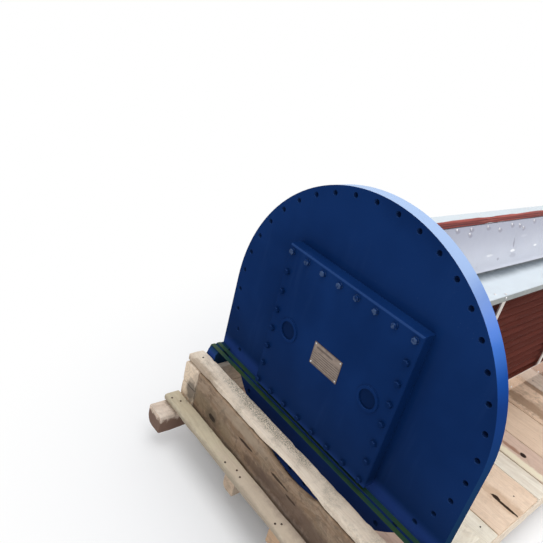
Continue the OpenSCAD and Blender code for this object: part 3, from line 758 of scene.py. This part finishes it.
bm = bmesh.new()
rows, columns = baffle["rows"], baffle["columns"]
sides = []
for flat in (False, True):  # the dented face, then the flat back
    grid = []
    for i in range(columns + 1):
        y = baffle["start"] + (baffle["end"] - baffle["start"]) * i / columns
        line = []
        for k in range(rows + 1):
            z = baffle["lip"] + baffle["rise"] * k / rows
            if flat:
                inset = baffle["thick"] - baffle["play"]
            elif k == rows:
                inset = 0
            else:
                inset = dentAt(y, z) - (baffle["hem"] if k == 0 else 0)
            line.append(bm.verts.new(placeAt(baffleAt(z) - inset, y, z)))
        grid.append(line)
    sides.append(grid)
    for i in range(columns):
        for k in range(rows):
            corners = (grid[i][k], grid[i + 1][k], grid[i + 1][k + 1], grid[i][k + 1])
            bm.faces.new(corners[::-1] if flat else corners)
face, back = sides
for i in range(columns):
    for k in (0, rows):
        bm.faces.new((face[i][k], back[i][k], back[i + 1][k], face[i + 1][k]))
for k in range(rows):
    for i in (0, columns):
        bm.faces.new((face[i][k], face[i][k + 1], back[i][k + 1], back[i][k]))
panel = fromBmesh("bafflePanelSheet", bm, smoothing["sheet"])
piece("bafflePanelSheet", panel, "panel", ["baffle_panel"])
print("baffle panel made")


def facing(outward):
    return outward.to_track_quat("Z", "Y").to_matrix().to_4x4()


def addCone(bm, spot, turned, outward, radius, top, height, segments):
    bmesh.ops.create_cone(bm, cap_ends=True, segments=segments, radius1=radius, radius2=top, depth=height,
                          matrix=Matrix.Translation(spot + outward * height / 2) @ turned)


hexShape = {"washerRise": 0.002, "washerTop": 0.96, "body": 0.8, "crown": 0.2, "crownTop": 0.84}


def addHex(bm, spot, outward, bolt, turn):  # washer, head and bevelled crown
    base, washerTop = hexShape["washerRise"], bolt["washer"] * hexShape["washerTop"]
    addCone(bm, spot, facing(outward), outward, bolt["washer"], washerTop, base, 20)
    spin = facing(outward) @ Matrix.Rotation(turn, 4, "Z")
    radius = bolt["across"] / math.sqrt(3)
    body, crown = bolt["height"] * hexShape["body"], bolt["height"] * hexShape["crown"]
    for start, depth, top in ((base, body, radius), (base + body, crown, radius * hexShape["crownTop"])):
        bmesh.ops.create_cone(bm, cap_ends=True, segments=6, radius1=radius, radius2=top, depth=depth,
                              matrix=Matrix.Translation(spot + outward * (start + depth / 2)) @ spin)


def addDome(bm, spot, outward, head):
    segments = 10
    around = [fullTurn * i / segments for i in range(segments)]
    seat = Matrix.Translation(spot) @ facing(outward)
    rings = []
    for tilt in (0, math.pi / 6, math.pi / 3):
        r, h = head["radius"] * math.cos(tilt), head["rise"] * math.sin(tilt)
        rings.append([bm.verts.new(seat @ Vector((r * math.cos(t), r * math.sin(t), h))) for t in around])
    peak = bm.verts.new(seat @ Vector((0, 0, head["rise"])))
    for a, b in zip(rings, rings[1:]):
        for i in range(segments):
            bm.faces.new((a[i], a[(i + 1) % segments], b[(i + 1) % segments], b[i]))
    for i in range(segments):
        bm.faces.new((rings[-1][i], rings[-1][(i + 1) % segments], peak))


nails = {  # places in millimetres, the heads in metres: radius, radius on top, rise
    "deckRows": (-515, -492, 118, 489, 517), "deckTop": 171.5,
    "chance": 0.45, "shares": (0.25, 0.72), "stray": (8, 6),
    "deckHead": (0.0032, 0.0026, 0.003), "boardHead": (0.0042, 0.0036, 0.0024),
    "upperTop": 350.6, "upperBoard": ((-508, -52), (505, -62), (523, -46)),
    "lowerTop": 180.6, "lowerBoard": ((-519, -150), (-490, -130), (-161, -148), (-113, -132), (-84, -140),
                                      (118, -148), (130, -131), (500, -148), (520, -128)),
}
strayX, strayY = nails["stray"]
bm = bmesh.new()
for start, end in zip(deck["seams"][2:], deck["seams"][3:]):  # from the blocks' ends onwards
    for x in nails["deckRows"]:
        if random.random() < nails["chance"]:
            y = start + (end - start) * random.choice(nails["shares"]) + random.uniform(-strayY, strayY)
            spot = placeAt(x + random.uniform(-strayX, strayX), y, nails["deckTop"])
            addCone(bm, spot, facing(upward), upward, *nails["deckHead"], 10)
for row in ("upper", "lower"):
    for x, y in nails[row + "Board"]:
        addCone(bm, placeAt(x, y, nails[row + "Top"]), facing(upward), upward, *nails["boardHead"], 10)
piece("nails", fromBmesh("nails", bm, smoothing["heads"]), "nail")

boxBolts = {"square": 250, "gaps": 7, "head": {"across": 0.017, "height": 0.009, "washer": 0.0108}}
bm = bmesh.new()
square, gaps = boxBolts["square"], boxBolts["gaps"]
for i in range(gaps):
    t = -square + 2 * square * i / gaps
    for x, z in ((t, square), (square, -t), (-t, -square), (-square, t)):
        addHex(bm, placeAt(x, 0, centreMm + z), forward, boxBolts["head"], random.uniform(0, 1))
piece("waterBoxBolts", fromBmesh("waterBoxBolts", bm, smoothing["bolts"]), "boltBlueShadedLit")

bm = bmesh.new()
rivetX, rivetZ = nameplate["rivetsAt"]
for x in (-rivetX, rivetX):
    for z in (-rivetZ, rivetZ):
        addDome(bm, placeAt(x, -nameplate["proud"], centreMm + z), forward, nameplate["rivet"])
piece("nameplateRivets", fromBmesh("nameplateRivets", bm, smoothing["heads"]), "bright")

screws = {  # places along and up in millimetres
    "first": 930, "pitch": 74, "count": 17, "height": 1142, "uneven": (-6, 4), "sink": 1.0,
    "strays": ((1060, 1064), (1240, 1118), (1700, 1110), (2040, 1062)),
    "end": (2200, 2270, 2360, 2450), "endHeight": 1140, "endFace": 103,
    "head": {"radius": 0.005, "rise": 0.0032},
}
leanOut = Vector((baffle["rise"], 0, baffle["lean"])).normalized()
bm = bmesh.new()
row = [(screws["first"] + i * screws["pitch"], screws["height"] + random.uniform(*screws["uneven"]))
       for i in range(screws["count"])]
for y, z in (*screwPlaces, *row, *screws["strays"]):
    addDome(bm, placeAt(baffleAt(z) - screws["sink"], y, z), leanOut, screws["head"])
for y in screws["end"]:
    addDome(bm, placeAt(screws["endFace"], y, screws["endHeight"]), rightward, screws["head"])
piece("baffleScrews", fromBmesh("baffleScrews", bm, smoothing["heads"]), "screw")

rivets = {  # places in millimetres
    "cover": ((240, 372), (252, 417), (240, 900), (240, 1056), (240, 1500), (240, 1695), (240, 2080)),
    "coverTop": 995.6, "side": 258, "straps": (417, 1056, 1695), "strapHeight": 985,
    "sill": (150, 240, 9), "sillHeight": 490, "skirt": (160, 80, 24), "skirtFace": 103, "skirtHeight": 460,
    "large": {"radius": 0.0045, "rise": 0.0025}, "small": {"radius": 0.004, "rise": 0.002},
}


def rowOf(first, pitch, count):
    return [first + i * pitch for i in range(count)]


bm = bmesh.new()
for side in (-1, 1):
    outward = Vector((side, 0, 0))
    for x, y in rivets["cover"]:
        addDome(bm, placeAt(side * x, y, rivets["coverTop"]), upward, rivets["large"])
    for y in rivets["straps"]:
        addDome(bm, placeAt(side * rivets["side"], y, rivets["strapHeight"]), outward, rivets["large"])
    for y in rowOf(*rivets["sill"]):
        addDome(bm, placeAt(side * rivets["side"], y, rivets["sillHeight"]), outward, rivets["small"])
for y in rowOf(*rivets["skirt"]):
    addDome(bm, placeAt(rivets["skirtFace"], y, rivets["skirtHeight"]), rightward, rivets["small"])
piece("casingRivets", fromBmesh("casingRivets", bm, smoothing["heads"]), "bright")

flangeBolts = {
    "pitch": 66, "count": 7, "side": 0.279, "top": 0.248, "sideTurn": 0.3,
    "topCount": 9, "topFirst": -264, "topDrop": 0.0125, "topTurn": 0.2,
    "sideHead": {"across": 0.018, "height": 0.011, "washer": 0.013},
    "topHead": {"across": 0.015, "height": 0.011, "washer": 0.011},
}
flangeLow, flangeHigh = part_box("far_flange")
bm = bmesh.new()
for i in range(flangeBolts["count"]):
    z = centreHeight + flangeBolts["top"] - i * flangeBolts["pitch"] / 1000
    for side in (-1, 1):
        addHex(bm, Vector((side * flangeBolts["side"], flangeLow[1], z)), forward, flangeBolts["sideHead"],
               flangeBolts["sideTurn"])
for x in rowOf(flangeBolts["topFirst"], flangeBolts["pitch"], flangeBolts["topCount"]):
    addHex(bm, Vector((x / 1000, flangeLow[1], flangeHigh[2] - flangeBolts["topDrop"])), forward,
           flangeBolts["topHead"], flangeBolts["topTurn"])
piece("flangeBolts", fromBmesh("flangeBolts", bm, smoothing["bolts"]), "bright")
print("bolts, screws and nails made")

seals = {  # piece: node, axis, seed
    "topSealStrip": ("top_seal", 1, 0.3),
    "endSealStrip": ("end_seal", 2, 0.6),
    "bottomSealStrip": ("bottom_seal", 1, 0.9),
}
strip = {"edge": 0.004, "rough": 0.002, "step": 0.035, "face": 0.9, "groove": (0.3, 0.7), "grooveDepth": 0.0025}


def carveSeal(spot, across, up):  # a shallow groove along the strip's outer face
    low, high = strip["groove"]
    if across > strip["face"] and low < up < high:
        spot.x -= strip["grooveDepth"]


for name, (node, axis, seed) in seals.items():
    low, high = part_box(node)
    bm = bmesh.new()
    look, carve = {"shade": woods["brown"], "seed": seed}, carveSeal if node == "top_seal" else None
    addBar(bm, low, high, axis, look, (strip["edge"],) * 4, strip["rough"], strip["step"], carve)
    piece(name, fromBmesh(name, bm, smoothing["rubber"]), "rubber", [node])
print("seals made:", len(seals))

shot = {  # camera solved from the photograph: pixels, then metres and directions
    "focal": 559.801361785718, "frame": 543, "shift": 30, "sensor": 36,
    "place": (0.8450679171287144, -2.36549155704878, 1.6268848532469935),
    "right": (0.6380027555824479, 0.7298694722354924, 0.24544459389463916),
    "down": (0.47781184508934765, -0.12527614234027615, -0.8694836014920674),
    "ahead": (-0.603861176691009, 0.6720092607018221, -0.42866680274138125),
}
camera = bpy.data.objects.new("camera", bpy.data.cameras.new("camera"))
scene.collection.objects.link(camera)
camera.data.sensor_width = shot["sensor"]
camera.data.lens = shot["focal"] / shot["frame"] * shot["sensor"]
camera.data.shift_x = -shot["shift"] / shot["frame"]
axes = Matrix((shot["right"], [-c for c in shot["down"]], [-c for c in shot["ahead"]])).transposed()
camera.matrix_world = Matrix.Translation(shot["place"]) @ axes.to_4x4()
scene.camera = camera


def seenRay(tree):  # 1 for what the camera sees straight, in a gloss or through glass
    path = tree.nodes.new("ShaderNodeLightPath")
    total = path.outputs["Is Camera Ray"]
    for kind in ("Is Glossy Ray", "Is Transmission Ray"):
        most = tree.nodes.new("ShaderNodeMath")
        most.operation = "MAXIMUM"
        tree.links.new(total, most.inputs[0])
        tree.links.new(path.outputs[kind], most.inputs[1])
        total = most.outputs[0]
    return total


ground = {"radius": 40, "pale": (0.94, 0.94, 0.945), "soft": (0.9, 0.9, 0.905), "fade": (0.8, 1.7),
          "squash": (1.0, 0.75, 0.0)}
f = Finish("paleFloor", Roughness=0.95, Specular_IOR_Level=0.1)
f.wire("Base Color", f.tint(f.grain(f.place, 1.2, 2) * 0.3, ground["pale"], ground["soft"]))
distance = f.span(f.stretch(f.place, ground["squash"]))
white = f.node("Emission", {}, {"Strength": 1.0})
factor = f.band(distance, *ground["fade"]) * Value(f, seenRay(f.tree))
mixed = f.node("MixShader", {}, {0: factor, 1: Value(f, f.shader.outputs[0]), 2: white})
f.tree.links.new(mixed.socket, f.end.inputs[0])
bm = bmesh.new()
bmesh.ops.create_circle(bm, cap_ends=True, radius=ground["radius"], segments=96)
floor = bpy.data.objects.new("floor", fromBmesh("floor", bm, smoothing["floor"]))
floor.data.materials.append(f.material)
scene.collection.objects.link(floor)

studio = {"fill": (0.93, 0.96, 1, 1), "fillLevel": 0.62, "shown": (1, 1, 1, 1), "shownLevel": 1.0}
world = bpy.data.worlds.new("studio")
scene.world = world
world.use_nodes = True
tree = world.node_tree
tree.nodes.clear()
fill, shown = (tree.nodes.new("ShaderNodeBackground") for _ in range(2))
fill.inputs[0].default_value, fill.inputs[1].default_value = studio["fill"], studio["fillLevel"]
shown.inputs[0].default_value, shown.inputs[1].default_value = studio["shown"], studio["shownLevel"]
mixed = tree.nodes.new("ShaderNodeMixShader")
output = tree.nodes.new("ShaderNodeOutputWorld")
for source, target in ((seenRay(tree), mixed.inputs[0]), (fill.outputs[0], mixed.inputs[1]),
                       (shown.outputs[0], mixed.inputs[2]), (mixed.outputs[0], output.inputs[0])):
    tree.links.new(source, target)

lamps = {  # name: place, aim, size, watts
    "skyPanel": ((0.3, -1.2, 5.2), (0.1, -0.5, 0.3), 4.0, 140),
    "backPanel": ((3.0, 2.6, 3.4), (0.2, -0.1, 0.5), 3.0, 60),
}
for name, (spot, aim, size, watts) in lamps.items():
    lamp = bpy.data.lights.new(name, "AREA")
    lamp.shape, lamp.size, lamp.energy = "SQUARE", size, watts
    made = bpy.data.objects.new(name, lamp)
    scene.collection.objects.link(made)
    made.location = spot
    made.rotation_euler = (Vector(aim) - Vector(spot)).to_track_quat("-Z", "Y").to_euler()
scene.view_settings.view_transform = "Standard"
print("camera, floor and light made")

bpy.context.view_layer.update()
